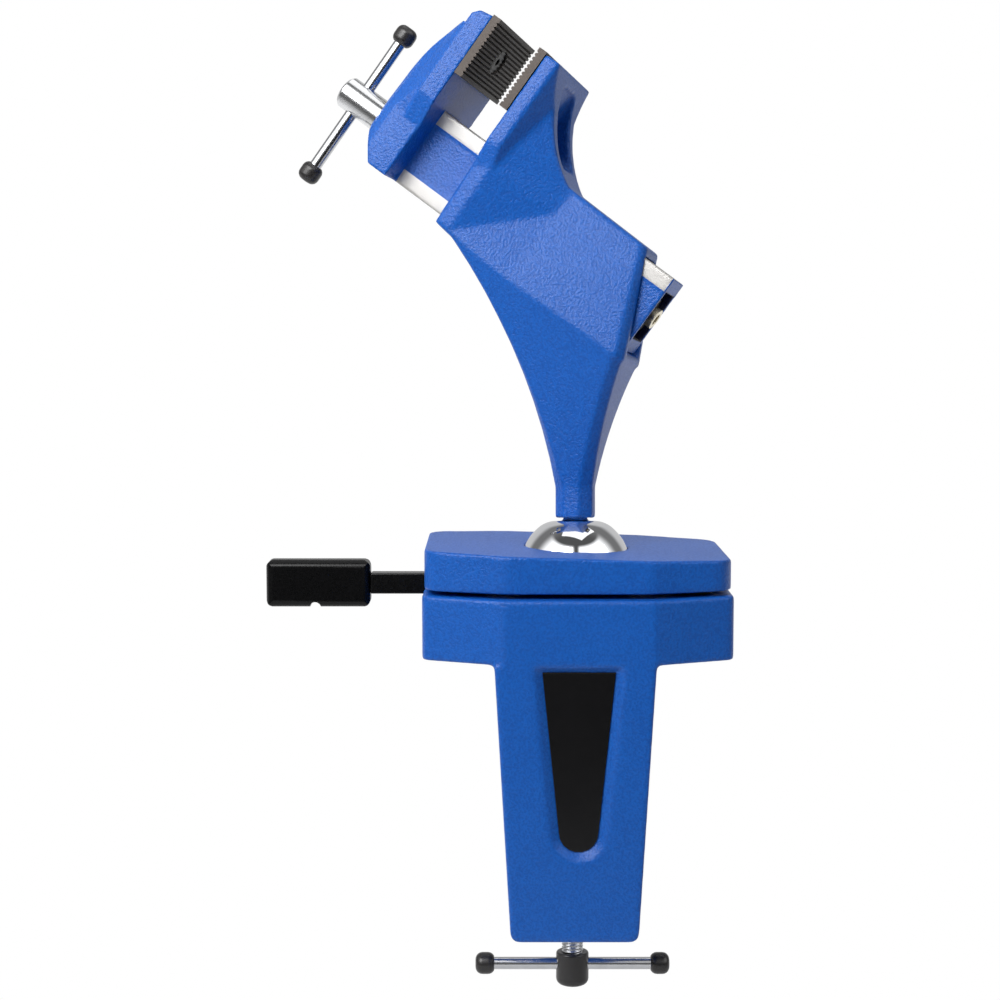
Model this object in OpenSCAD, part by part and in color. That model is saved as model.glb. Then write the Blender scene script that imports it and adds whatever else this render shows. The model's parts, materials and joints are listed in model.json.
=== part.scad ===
// Ball joint vise: a small vise head on a lockable ball, with a bench clamp under its base.
// The origin lies on the bench seat, under the ball. The front of the base faces -Y.

/* [Ball joint] */
// Diameter of the ball
ball_d = 40; // [36:0.5:44]
// Depth of the flat cut off the top of the ball
ball_flat_cut = 3.8; // [1.5:0.1:4.5]
// Height of the ball's centre above the block's top face
ball_rise = 5.2; // [3:0.1:7]
// Diameter of the stud on the ball
stud_d = 8.5; // [6:0.5:9.5]
// Length of the stud that shows between ball and neck
stud_show = 2.3; // [1:0.1:4]
// How far the stud reaches into the neck
stud_reach = 20; // [12:1:24]
// Radius of the hollow between the ball's flat and its stud
stud_fillet = 1.4; // [0.5:0.1:1.8]
// Lean of the neck to the rear, in degrees
head_lean = 6; // [-20:0.5:20]
// Turn of the head about the neck, in degrees
head_turn = 14.5; // [-90:0.5:90]
// Thickness of the seat ring under the ball
seat_under = 4; // [3:0.5:6]
// Height of the seat ring
seat_h = 9; // [7:0.5:11]
// Diameter of the hole in the seat ring
seat_hole_d = 18; // [14:1:22]

/* [Block and cover] */
// Width of the block
block_w = 107; // [98:1:120]
// Distance of the block's front face from the ball's axis
block_front = 41.5; // [38:0.5:46]
// Distance of the block's rear face from the ball's axis
block_back = 44.5; // [40:0.5:50]
// Thickness of the block's floor under the seat ring
floor_t = 3.5; // [2.5:0.1:5]
// Length of each corner cut along the width
corner_run = 28; // [22:1:32]
// Depth of each corner cut
corner_cut = 12.4; // [8:0.2:16]
// Rounding of the block's upright edges
corner_r = 4; // [1:0.5:6]
// Gap between block and cover
gap_h = 1.6; // [1:0.1:3]
// Thickness of the cover at the ball
cover_t = 12.2; // [11:0.1:14]
// Slope of the cover's top, high at the lever end, in degrees
cover_slope = 1.8; // [0:0.1:3]
// How far the cover's front face stands behind the block's
cover_setback = 3; // [0.5:0.5:5]
// Rounding of the cover's upright edges
cover_r = 9; // [2:0.5:12]
// Distance of the cover screws from the block's right end
cover_screw_inset = 13; // [11:0.5:18]
// Distance between the two cover screws
cover_screw_spread = 40; // [30:1:48]
// Diameter of the cover screws
cover_screw_d = 6; // [4:0.5:7]
// Reach of the cover screws into the cover
cover_screw_reach = 7; // [4:0.5:8]

/* [Lock lever] */
// Distance of the lock bolt from the block's left end
bolt_inset = 13.5; // [12:0.5:18]
// Diameter of the lock bolt
bolt_d = 8; // [6:0.5:10]
// Reach of the lock bolt into the cover, above the lever
bolt_reach = 6; // [4:0.5:6.5]
// Diameter of the round boss on the block around the bolt
bolt_boss_d = 29; // [27.5:0.5:32]
// Height of that boss
bolt_boss_h = 11; // [6:0.5:13]
// Diameter of the lever's hub
lever_hub_d = 18; // [15:0.5:20]
// Height of the lever's arm
lever_arm_h = 7.3; // [5:0.1:9]
// Width of the lever's arm
lever_arm_w = 7; // [5:0.5:9]
// Length of arm that shows outside the block
lever_arm_show = 19; // [12:0.5:26]
// Length of the grip
grip_l = 37; // [28:0.5:45]
// Height of the grip
grip_h = 16.8; // [13:0.2:20]
// Thickness of the grip
grip_t = 9.5; // [8:0.5:13]
// Swing of the lever to the rear, in degrees
lever_rear = 60; // [20:1:65]
// Swing of the lever to the front, in degrees
lever_fore = 15; // [5:1:25]

/* [Column and arm] */
// Width of the column at the block
column_top_w = 55; // [48:0.2:60]
// Width of the column at its foot
column_low_w = 43.7; // [40:0.1:54]
// Shift of the column to the right of the block's middle
column_shift = -1.2; // [-2:0.1:2]
// Distance of the column's foot below the bench seat
column_drop = 95.5; // [88:0.5:110]
// Thickness of the column
column_t = 24; // [20:0.5:28]
// Rounding of the column's lower corners
column_r = 3; // [1:0.5:6]
// Height of the lower arm
arm_h = 18.5; // [14:0.5:24]
// Distance of the clamp screw behind the ball's axis
screw_y = 17; // [8:0.5:22]
// Diameter of the boss that holds the clamp screw
screw_boss_d = 28; // [22:0.5:34]
// Radius of the hollow between column and arm
arm_fillet = 10; // [4:0.5:16]
// Width of the pocket in the back of the column
pocket_w = 28; // [20:0.5:32]
// Depth of that pocket
pocket_depth = 13; // [6:0.5:15]

/* [Label recess] */
// Width of the bare plate at its top
plate_top_w = 25; // [18:0.5:28]
// Width of the bare plate at its round foot
plate_low_w = 13.6; // [8:0.2:16]
// Height of the bare plate
label_h = 62; // [40:0.5:66]
// Thickness of the bare plate
label_t = 0.8; // [0.4:0.1:1.2]
// Width of the sloping wall round the plate
recess_wall = 3.2; // [1.5:0.1:4.5]
// Depth of the recess
recess_depth = 2.5; // [1.4:0.1:3]

/* [Clamp screw] */
// Diameter of the clamp screw
clamp_d = 8; // [6:0.5:10]
// Space between pad and bench seat at rest
bench_gap = 25; // [10:0.5:50]
// Diameter of the pad
pad_d = 24; // [18:0.5:28]
// Thickness of the pad's plate
pad_t = 3; // [2:0.25:5]
// Diameter of the pad's collar
pad_collar_d = 14; // [11:0.5:18]
// Height of the pad's collar
pad_collar_h = 5; // [4:0.5:8]
// Diameter of the screw's tip in the pad
tip_d = 6; // [4:0.25:7]
// Drop of the hub's top below the arm
hub_drop = 20.9; // [10:0.1:30]
// Diameter of the hub
hub_d = 12; // [10:0.2:15]
// Length of the hub
hub_l = 12.4; // [10:0.2:16]
// Depth of the cross bar's axis below the hub's top
bar_depth = 4.6; // [3.5:0.1:7]

/* [Cross bars] */
// Diameter of both cross bars
bar_d = 4.5; // [3.5:0.1:5]
// Length of the clamp's bar over its caps
clamp_bar_l = 71.6; // [56:0.2:84]
// Length of the spindle's bar over its caps
spindle_bar_l = 67.4; // [56:0.2:84]
// Shift of the spindle's bar along its own length
spindle_bar_shift = -1.7; // [-8:0.1:8]
// Diameter of the caps
cap_d = 8; // [6:0.1:10]
// Length of the caps
cap_l = 7.2; // [5:0.1:9]

/* [Head] */
// Slope of the spindle, low at the rear, in degrees
vise_angle = 37; // [25:0.5:42]
// Place of the fixed jaw's lower edge along the head
vise_x = -21.5; // [-26:0.5:-18]
// Height of that edge above the ball's centre
vise_z = 161.8; // [156:0.2:172]
// Width of the eight-sided neck
neck_w = 13.5; // [12.5:0.1:18]
// Height of the neck's straight part above the ball's centre
neck_top = 29.5; // [26:0.5:34]
// Half width of the flare at its front edge
flare_front = 20.5; // [18:0.1:22]
// Half width of the flare at its rear edge
flare_rear = 17; // [14:0.1:19]
// Half width of the body's top
body_top = 11.7; // [11.3:0.1:14]
// Half width of the web behind the fixed jaw, at the body's top
web_front = 21.2; // [19:0.1:22]
// How much narrower the web is at the jaw's top, on each side
web_draw = 5.6; // [4:0.1:7]
// Depth of the body's lower crease below the jaw's lower edge
body_drop = 46; // [45.2:0.1:49]
// Depth of the body's top below the jaw's lower edge
body_ceiling = 8.8; // [7.5:0.1:10]
// Length of the body along the top, from the jaw's face
body_top_l = 69; // [60:0.2:74]
// Fall of the body's top from the jaw's hollow back to its rear end
body_fall = 0.9; // [0:0.1:1.5]
// Length of the body along its lower crease, from the jaw's face
body_low_l = 87; // [80:0.2:92]

/* [Jaws] */
// Width of the jaws
jaw_w = 50; // [46:0.5:54]
// Height of the jaw plates
jaw_plate_h = 24.1; // [20:0.1:28]
// Thickness of the jaw plates
jaw_plate_t = 3.3; // [2.5:0.1:5]
// Opening between the plates at rest
jaw_gap = 17.1; // [2:0.1:38]
// Pitch of the ridges on the plates
ridge_pitch = 1.55; // [1.2:0.05:2.5]
// Depth of the grooves between the ridges
ridge_depth = 0.7; // [0.3:0.1:1]
// Thickness of the fixed jaw's full-width edge
jaw_edge = 5.8; // [4:0.1:8]
// Half width of the fixed jaw's edge under its plate
jaw_low_half = 22.8; // [21.5:0.1:23.5]
// Radius of the hollow back of the fixed jaw
jaw_back_r = 48; // [42:0.5:60]
// Thickness of the moving jaw's full-width edge
moving_edge = 7.3; // [5:0.1:9]
// Thickness of the moving jaw at the spindle
moving_t = 17.9; // [14:0.1:22]
// Half width of the moving jaw's nose
nose_half = 14.5; // [11:0.1:18]
// Height of the nose's top above the jaw's lower edge
nose_top = 16.5; // [13:0.1:19]
// Half width of the moving jaw below its plate
moving_low_half = 21.5; // [18:0.1:23]
// Diameter of the screws that hold the jaw plates
plate_screw_d = 5; // [4:0.25:6]
// Reach of those screws into the jaws
plate_screw_reach = 4.8; // [3.5:0.1:5.5]

/* [Slide and spindle] */
// Width of the slide
slide_w = 20; // [18:0.2:20.6]
// Height of the slide
slide_h = 30.5; // [28:0.1:31]
// Depth of the slide's top below the jaw's lower edge
slide_top = 13; // [12.5:0.1:13.6]
// Place of the slide's rear end behind the fixed jaw's face
slide_end = 83.5; // [78:0.5:92]
// Height of the bare strips along the slide
strip_h = 5.8; // [4:0.1:8]
// Depth of the painted face between the strips
strip_depth = 0.4; // [0.2:0.1:0.8]
// Thickness of the slide's side walls
slide_wall = 2.5; // [2:0.1:3]
// Thickness of the slide's top and bottom walls
slide_roof = 5.5; // [4:0.1:6.5]
// Diameter of the spindle
spindle_d = 10; // [8:0.25:11]
// Diameter of the spindle's hub
spindle_hub_d = 12; // [11.5:0.1:15]
// Length of the spindle's hub
spindle_hub_l = 20; // [14:0.2:26]
// Place of the cross bar behind the hub's front end
spindle_bar_in = 6.8; // [5:0.1:9]
// Length of the nut
nut_l = 18; // [12:0.5:20]
// Place of the nut behind the fixed jaw's face
nut_at = 32; // [28:0.5:34]
// Width of the nut's foot
nut_foot_w = 8; // [6:0.25:9]
// Depth of the nut's foot in the body
nut_foot_depth = 5; // [3:0.25:6]
// Most opening of the jaws
jaw_open_max = 40; // [30:0.5:42]

/* [Fits] */
// Room round a turning or sliding fit
fit = 0.08; // [0.03:0.01:0.1]
// Room round a screw or bar in its hole
screw_room = 0.05; // [0.03:0.01:0.1]
// Room between pieces that pass each other
pass_room = 0.4; // [0.3:0.05:0.6]

/* [Hidden] */
$fn = 64;
corner_steps = 5;
flare_steps = 9;
hollow_steps = 12;

ball_r = ball_d / 2;
seat_r = ball_r + fit;
block_h = floor_t + seat_under + ball_r - ball_rise;
ball_z = block_h + ball_rise;
cover_z = block_h + gap_h;
cover_top = cover_z + cover_t;
socket_gap = 1;
socket_d = ball_d + 2 * socket_gap;
half_block = block_w / 2;

block_outline = octagon(block_front, block_back, half_block, corner_run, corner_cut);
cover_inset = 0.7;
cover_outline = octagon(block_front - cover_setback, block_back - cover_inset,
                        half_block - cover_inset, corner_run, corner_cut - cover_setback);

spacer_wall = cover_screw_d / 2;
cover_screw_x = half_block - cover_screw_inset;
cover_screw_places = [for (side = [-1, 1]) [cover_screw_x, side * cover_screw_spread / 2, 0]];
cover_head_d = cover_screw_d + 4;
cover_head_h = cover_screw_d * 0.9;
cover_head_sink = 1;

bolt_x = bolt_inset - half_block;
lever_z = block_h + gap_h / 2;
lever_low = lever_z - lever_arm_h / 2;
lever_high = lever_z + lever_arm_h / 2;
bolt_head_d = bolt_d + 5;
bolt_head_h = bolt_d * 0.65;
bolt_head_sink = 1;
washer_t = 1.4;
washer_d = bolt_head_d + 2;
bolt_boss_top = lever_low - pass_room;
lever_reach = bolt_inset + lever_arm_show;
tang_h = 4.5;
tang_w = 4;
tang_l = grip_l * 0.7;
grip_r = 3;
grip_notch_r = 1.9;

frame_front = -block_front;
column_back = frame_front + column_t;
arm_top = arm_h - column_drop;
arm_root_w = column_low_w - 2 * column_r - 2 * abs(column_shift) - 1;

label_top = -2.3;
label_foot_r = plate_low_w / 2;

pad_top = -bench_gap;
pad_low = pad_top - pad_t - pad_collar_h;
tip_l = pad_collar_h + pad_t * 0.4;
hub_top = -column_drop - hub_drop;
hub_low = hub_top - hub_l;
clamp_bar_z = hub_top - bar_depth;
screw_low = hub_low + 2;

plate_hole_d = plate_screw_d + 2 * screw_room;
plate_back = -jaw_gap - jaw_plate_t;
nose_front = plate_back - moving_t;
slide_low = slide_top + slide_h;
spindle_axis = -slide_top - slide_h / 2;
jaw_top = jaw_plate_h - 0.6;
jaw_hold = 12;
hollow_front = plate_back + 8.4;
hollow_w = slide_w - 2 * slide_wall;
hollow_h = slide_h - 2 * slide_roof;
thrust_t = 1;
hub_back = nose_front - thrust_t;
hub_front = hub_back - spindle_hub_l;
spindle_bar_u = hub_front + spindle_bar_in;
clip_t = 1.2;
clip_groove_d = spindle_d - 1.6;
small_washer_d = hollow_w - 1;
stop_washer_t = 1.5;
stop_head_h = 3.2;
spindle_end = slide_end - stop_head_h - stop_washer_t + 1.2;
stop_screw_d = 5;
stop_head_d = stop_screw_d + 2.8;
stop_screw_l = 12;
jaw_close = jaw_gap - 0.5;
jaw_open = jaw_open_max - jaw_gap;
slot_room = 1;
slot_front = nut_at - jaw_close - slot_room;
slot_rear = nut_at + nut_l + jaw_open + slot_room;
neck_low = ball_r - ball_flat_cut + stud_show;

// Geometry helpers

function unit(v) = v / norm(v);
function mix(a, b, t) = a + (b - a) * t;
function bend(a, c, b, t) = mix(mix(a, c, t), mix(c, b, t), t);

// Points of a round corner of radius r at b, between its neighbours a and c
function corner(a, b, c, r) =
    let (p = unit(a - b), q = unit(c - b), half = acos(p * q) / 2)
    let (centre = b + unit(p + q) * r / sin(half))
    let (start = b + p * r / tan(half) - centre, stop = b + q * r / tan(half) - centre)
    let (a0 = atan2(start.y, start.x), a1 = atan2(stop.y, stop.x))
    let (turn = a1 - a0 > 180 ? a1 - a0 - 360 : a1 - a0 < -180 ? a1 - a0 + 360 : a1 - a0)
    [for (i = [0:corner_steps]) let (a = a0 + turn * i / corner_steps) centre + r * [cos(a), sin(a)]];

// An outline with every corner rounded, by one radius or by one for each corner
function rounded(pts, r) =
    let (n = len(pts))
    [for (i = [0:n - 1])
        each corner(pts[(i + n - 1) % n], pts[i], pts[(i + 1) % n], is_list(r) ? r[i] : r)];

function octagon(front, back, half, run, cut) = [
    [-half, cut - front], [run - half, -front], [half - run, -front], [half, cut - front],
    [half, back - cut], [half - run, back], [run - half, back], [-half, back - cut]
];

// A closed solid through rings of equal point counts, listed upward and counter-clockwise from above
module loft(rings) {
    n = len(rings[0]);
    last = (len(rings) - 1) * n;
    sides = [for (i = [0:len(rings) - 2], j = [0:n - 1])
        let (a = i * n + j, b = i * n + (j + 1) % n)
        each [[a, a + n, b + n], [a, b + n, b]]];
    foot = [for (j = [0:n - 1]) j];
    crown = [for (j = [n - 1:-1:0]) last + j];
    polyhedron([for (r = rings) each r], concat(sides, [foot, crown]));
}

// A box with round edges, centred
module soft_box(size, r) {
    intersection() {
        linear_extrude(size.z, center = true) polygon(soft_square(size.x, size.y, r));
        rotate([90, 0, 0]) linear_extrude(size.y, center = true) polygon(soft_square(size.x, size.z, r));
        rotate([90, 0, 90]) linear_extrude(size.x, center = true) polygon(soft_square(size.y, size.z, r));
    }
}
function soft_square(w, h, r) = rounded([[-w, -h] / 2, [w, -h] / 2, [w, h] / 2, [-w, h] / 2], r);

// Frames of the head: the neck's own, and the vise's, with u along the spindle to the rear, h up the jaws
module head_place() {
    translate([0, 0, ball_z]) rotate([-head_lean, 0, 0]) rotate([0, 0, -head_turn]) children();
}
module vise_place() {
    head_place() translate([vise_x, 0, vise_z]) rotate([0, vise_angle, 0]) children();
}
function neck_e(u, h) = vise_x + u * cos(vise_angle) + h * sin(vise_angle);
function neck_z(u, h) = vise_z - u * sin(vise_angle) + h * cos(vise_angle);

// Extrusions of outlines in the vise's frame
module side_profile(width) {
    rotate([90, 0, 0]) linear_extrude(width, center = true) children();
}
module front_profile(from, to) {
    translate([from, 0, 0]) rotate([90, 0, 90]) linear_extrude(to - from) children();
}
module rod_u(from, to, d, at = spindle_axis) {
    translate([from, 0, at]) rotate([0, 90, 0]) cylinder(d = d, h = to - from);
}
module box_u(from, to, width, low, high) {
    translate([from, -width / 2, low]) cube([to - from, width, high - low]);
}

// Base

module arm() {
    arm_outline = [
        [-arm_root_w / 2, column_back - 2], [arm_root_w / 2, column_back - 2],
        [screw_boss_d / 2, screw_y], [-screw_boss_d / 2, screw_y]
    ];
    translate([0, 0, -column_drop]) linear_extrude(arm_h) {
        polygon(arm_outline);
        translate([0, screw_y]) circle(d = screw_boss_d);
    }
    translate([0, column_back, arm_top]) difference() {
        translate([-pocket_w / 2, -1, -1]) cube([pocket_w, arm_fillet + 1, arm_fillet + 1]);
        translate([-pocket_w, arm_fillet, arm_fillet])
            rotate([0, 90, 0]) cylinder(r = arm_fillet, h = 2 * pocket_w);
    }
}

module column() {
    low = column_low_w / 2;
    top = column_top_w / 2;
    foot_left = corner([-top, 0], [-low, -column_drop], [low, -column_drop], column_r);
    foot_right = corner([-low, -column_drop], [low, -column_drop], [top, 0], column_r);
    root = [column_top_w * 0.7, column_t * 0.75, block_h * 0.4];
    translate([column_shift, column_back, 0]) rotate([90, 0, 0]) linear_extrude(column_t)
        polygon(concat(foot_left, foot_right, [[top, 0], [-top, 0]]));
    translate([-root.x / 2, column_back - column_t / 8 - root.y, -root.z / 2]) cube(root);
}

// Outline of the label plate, or of the recess round it, grown by a margin
function label_outline(grow) =
    let (top = label_top + grow * 0.6, foot = label_top - label_h + label_foot_r)
    let (half = plate_top_w / 2 + grow, r = label_foot_r + grow)
    concat([[half, top], [-half, top]], [for (a = [180:20:360]) [r * cos(a), foot + r * sin(a)]]);

module label_recess() {
    lead = 1;
    ring_front = [for (p = label_outline(recess_wall * (1 + lead / recess_depth))) [p.x, p.y, lead]];
    ring_floor = [for (p = label_outline(screw_room)) [p.x, p.y, -recess_depth]];
    translate([0, frame_front, 0]) rotate([90, 0, 0]) loft([ring_floor, ring_front]);
}

module lever_pocket(low, high) {
    reach = bolt_inset + column_t;
    arm_room = lever_arm_w + 4 * pass_room;
    sweep = [for (i = [0:12]) 180 - lever_rear + (lever_rear + lever_fore) * i / 12];
    translate([bolt_x, 0, low]) linear_extrude(high - low) {
        circle(d = lever_hub_d + 2 * pass_room);
        polygon(concat([[0, 0]], [for (a = sweep) reach * [cos(a), sin(a)]]));
        for (a = [sweep[0], sweep[12]]) rotate(a) translate([0, -arm_room / 2]) square([reach, arm_room]);
    }
}

module bolt_seat() {
    translate([bolt_x, 0, -1]) cylinder(d = bolt_d + 2 * fit, h = block_h + 2);
    translate([bolt_x, 0, -1])
        cylinder(d = washer_d + 2 * pass_room, h = 1 + bolt_head_sink + bolt_head_h + washer_t);
}

module clamp_frame() color("royalblue") difference() {
    union() {
        linear_extrude(block_h) polygon(rounded(block_outline, corner_r));
        translate([bolt_x, 0, bolt_boss_top - bolt_boss_h]) cylinder(d = bolt_boss_d, h = bolt_boss_h);
        column();
        arm();
    }
    translate([0, 0, floor_t]) cylinder(d = socket_d, h = block_h);
    lever_pocket(bolt_boss_top, block_h + 1);
    bolt_seat();
    for (p = cover_screw_places) translate(p) {
        translate([0, 0, -1]) cylinder(d = cover_screw_d + 2 * screw_room, h = block_h + 2);
        translate([0, 0, -1])
            cylinder(d = cover_head_d + 2 * pass_room, h = 1 + cover_head_sink + cover_head_h);
    }
    label_recess();
    translate([-pocket_w / 2, column_back - pocket_depth, arm_top + arm_fillet])
        cube([pocket_w, pocket_depth + 1, -arm_top - 2 * arm_fillet]);
    translate([0, screw_y, -column_drop - 1]) cylinder(d = clamp_d + 2 * fit, h = arm_h + 2);
}

module label_plate() color("black")
    translate([0, frame_front + recess_depth, 0]) rotate([90, 0, 0]) linear_extrude(label_t)
        polygon(label_outline(0));

module ball_cover() color("royalblue") difference() {
    translate([0, 0, cover_z]) linear_extrude(2 * cover_t) polygon(rounded(cover_outline, cover_r));
    translate([0, 0, cover_top]) rotate([0, cover_slope, 0])
        translate([-block_w, -block_w, 0]) cube([2 * block_w, 2 * block_w, 2 * cover_t]);
    translate([0, 0, ball_z]) sphere(r = seat_r);
    lever_pocket(cover_z - 1, lever_high + pass_room);
    translate([bolt_x, 0, cover_z])
        cylinder(d = bolt_d + 2 * fit, h = lever_high + bolt_reach + 1 - cover_z);
    for (p = cover_screw_places) translate([p.x, p.y, cover_z - 1])
        cylinder(d = cover_screw_d + 2 * screw_room, h = cover_screw_reach + 2);
}

module cover_spacers() color("silver") for (p = cover_screw_places) translate([p.x, p.y, block_h])
    difference() {
        cylinder(d = cover_screw_d + 2 * spacer_wall, h = gap_h);
        translate([0, 0, -1]) cylinder(d = cover_screw_d + 2 * screw_room, h = gap_h + 2);
    }

module cover_screws() color("dimgray") for (p = cover_screw_places) translate(p) difference() {
    union() {
        translate([0, 0, cover_head_sink]) cylinder(d = cover_head_d, h = cover_head_h);
        translate([0, 0, cover_head_sink])
            cylinder(d = cover_screw_d, h = cover_z + cover_screw_reach - cover_head_sink);
    }
    translate([0, 0, cover_head_sink - 1])
        cylinder(d = cover_screw_d * 0.95, h = 1 + cover_head_h / 2, $fn = 6);
}

// Ball joint

module ball_seat() color("goldenrod") translate([0, 0, floor_t]) difference() {
    cylinder(d = socket_d - 2 * fit, h = seat_h);
    translate([0, 0, ball_z - floor_t]) sphere(r = seat_r);
    translate([0, 0, -1]) cylinder(d = seat_hole_d, h = seat_h + 2);
}

module ball() color("silver") head_place() {
    flat = ball_r - ball_flat_cut;
    difference() {
        sphere(d = ball_d);
        translate([0, 0, flat]) cylinder(d = ball_d, h = ball_d);
    }
    translate([0, 0, flat - 1]) cylinder(d = stud_d, h = neck_low + stud_reach + 1 - flat);
    translate([0, 0, flat]) rotate_extrude() difference() {
        translate([stud_d / 2 - 0.5, -0.5]) square(stud_fillet + 0.5);
        translate([stud_d / 2 + stud_fillet, stud_fillet]) circle(r = stud_fillet);
    }
}

// Vise head

// One ring of the casting from its front and rear edges: front_cut is how far its front corner runs
// back and how much it draws in, and rear_cut is the size of its cut rear corner
function casting_ring(front, rear, front_half, rear_half, waist_half, waist, front_cut, rear_cut) =
    let (along = unit(rear - front), mid = mix(front, rear, waist))
    let (f = front + along * front_cut.x, r = rear - along * rear_cut)
    let (near = [[front, front_half - front_cut.y], [f, front_half], [mid, waist_half],
                 [r, rear_half], [rear, rear_half - rear_cut]])
    concat([for (p = near) [p[0].x, -p[1], p[0].y]],
           [for (i = [4:-1:0]) [near[i][0].x, near[i][1], near[i][0].y]]);

flare_edge = 12;
flare_step = 1;
flare_low = -body_drop - flare_step;
flare_f = [neck_e(flare_edge, flare_low), neck_z(flare_edge, flare_low)];
flare_r = [neck_e(body_low_l - 0.6, flare_low), neck_z(body_low_l - 0.6, flare_low)];
neck_half = neck_w / 2;
neck_cut = neck_half * (2 - sqrt(2));
flare_cut = 3;
flare_front_cut = 1;

function neck_ring(z) =
    let (half = neck_half, cut = neck_cut)
    casting_ring([-half, z], [half, z], half, half, half, 0.5, [cut, cut], cut);

function flare_ring(t) =
    let (front_pull = [flare_f.x * 0.34, mix(neck_top, flare_f.y, 0.53)])
    let (rear_pull = [mix(neck_half, flare_r.x, 0.3), mix(neck_top, flare_r.y, 0.52)])
    let (front = bend([-neck_half, neck_top], front_pull, flare_f, t))
    let (rear = bend([neck_half, neck_top], rear_pull, flare_r, t))
    let (fh = bend(neck_half, 11.5, flare_front, t), rh = bend(neck_half, 10.5, flare_rear, t))
    let (cut = mix(neck_cut, flare_cut, t), front_cut = mix(neck_cut, flare_front_cut, min(1, 1.5 * t)))
    casting_ring(front, rear, fh, rh, mix(fh, rh, 0.4), 0.4, [front_cut, front_cut], cut);

// Rings of the body at a depth below the jaw's lower edge. Its sides bend at the jaw's rear edge and at the
// waist, close to the knee at the foot of the jaw's hollow back.
jaw_knee = 34;
body_waist = jaw_knee + 2;
body_front = jaw_plate_t + 0.4;
crease_waist = mix(flare_front, flare_rear, 0.4);

function body_ring(depth, front_half) =
    let (t = (body_drop - depth) / (body_drop - body_ceiling), length = mix(body_low_l, body_top_l, t))
    let (front = [neck_e(body_front, -depth), neck_z(body_front, -depth)])
    let (rear = [neck_e(length, -depth), neck_z(length, -depth)])
    let (waist = (body_waist - body_front) / (length - body_front))
    casting_ring(front, rear, front_half, mix(flare_rear, body_top, t) + 0.4, mix(crease_waist, body_top, t),
                 waist, [jaw_edge, 0.8], mix(flare_cut, 2, t));

casting_rings = concat(
    [neck_ring(neck_low)],
    [for (i = [0:flare_steps]) flare_ring(i / flare_steps)],
    [body_ring(body_drop, flare_front + 0.4), body_ring(jaw_hold + 7, jaw_low_half),
     body_ring(body_ceiling - 2, web_front), body_ring(0.5 - jaw_top, web_front - web_draw)]
);

// The full-width edge of the fixed jaw, narrowing below its plate
module jaw_pillar() {
    half = jaw_w / 2;
    front_view = [
        [1.5 - flare_front, 3 - body_drop], [flare_front - 1.5, 3 - body_drop],
        [jaw_low_half - 1.5, -jaw_hold - 12], [jaw_low_half + 0.3, -jaw_hold - 6], [half, -jaw_hold],
        [half, jaw_top], [-half, jaw_top],
        [-half, -jaw_hold], [-jaw_low_half - 0.3, -jaw_hold - 6], [1.5 - jaw_low_half, -jaw_hold - 12]
    ];
    edge = jaw_plate_t + jaw_edge;
    rear_step = 9;
    plan = [
        [jaw_plate_t, -half], [edge, -half], [edge + rear_step * 0.6, rear_step - half],
        [edge + rear_step * 0.6, half - rear_step], [edge, half], [jaw_plate_t, half]
    ];
    intersection() {
        front_profile(0, 4 * jaw_edge) polygon(front_view);
        translate([0, 0, -body_drop - 1]) linear_extrude(body_drop + jaw_plate_h + 2) polygon(plan);
    }
}

// Side view of what is cut away over the body: the jaw's hollow back and all behind it
module jaw_back() {
    crown = [jaw_plate_t + jaw_edge + 0.3, jaw_top + 0.4];
    knee = [jaw_knee, -body_ceiling];
    far = [2 * body_low_l, 2 * jaw_w];
    middle = (crown + knee) / 2;
    half_chord = norm(knee - crown) / 2;
    toward = unit([crown.y - knee.y, knee.x - crown.x]);
    centre = middle + toward * sqrt(jaw_back_r * jaw_back_r - half_chord * half_chord);
    from = atan2(crown.y - centre.y, crown.x - centre.x);
    to = atan2(knee.y - centre.y, knee.x - centre.x);
    sweep = to - from + (to < from ? 360 : 0);
    back = [for (i = [0:hollow_steps])
        let (a = from + sweep * i / hollow_steps) centre + jaw_back_r * [cos(a), sin(a)]];
    fall = body_fall * (far.x - knee.x) / (body_top_l - knee.x);
    polygon(concat([[far.x, knee.y - fall], far, [crown.x, far.y]], back));
}

module jaw_pocket() {
    wall = plate_screw_reach + 1.6;
    pocket_low = -body_ceiling + 4;
    pocket_high = jaw_top - 5;
    half = body_top - 2.4;
    opening = [[-half, pocket_low], [half, pocket_low], [half, pocket_high], [-half, pocket_high]];
    front_profile(jaw_plate_t + wall, jaw_w) polygon(rounded(opening, 3));
}

module head_casting() color("royalblue") difference() {
    union() {
        head_place() loft(casting_rings);
        vise_place() jaw_pillar();
    }
    vise_place() {
        side_profile(2 * jaw_w) jaw_back();
        box_u(-jaw_w, 2 * body_low_l, slide_w + 2 * fit, -slide_low - fit, fit - slide_top);
        box_u(nut_at - screw_room, nut_at + nut_l + screw_room, nut_foot_w + 2 * screw_room,
              -slide_low - nut_foot_depth - screw_room, -slide_low);
        rod_u(jaw_plate_t - 1, jaw_plate_t + plate_screw_reach + 0.5, plate_hole_d, jaw_plate_h / 2);
        jaw_pocket();
    }
    head_place() translate([0, 0, neck_low - 1]) cylinder(d = stud_d + 2 * fit, h = stud_reach + 2);
}

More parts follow.
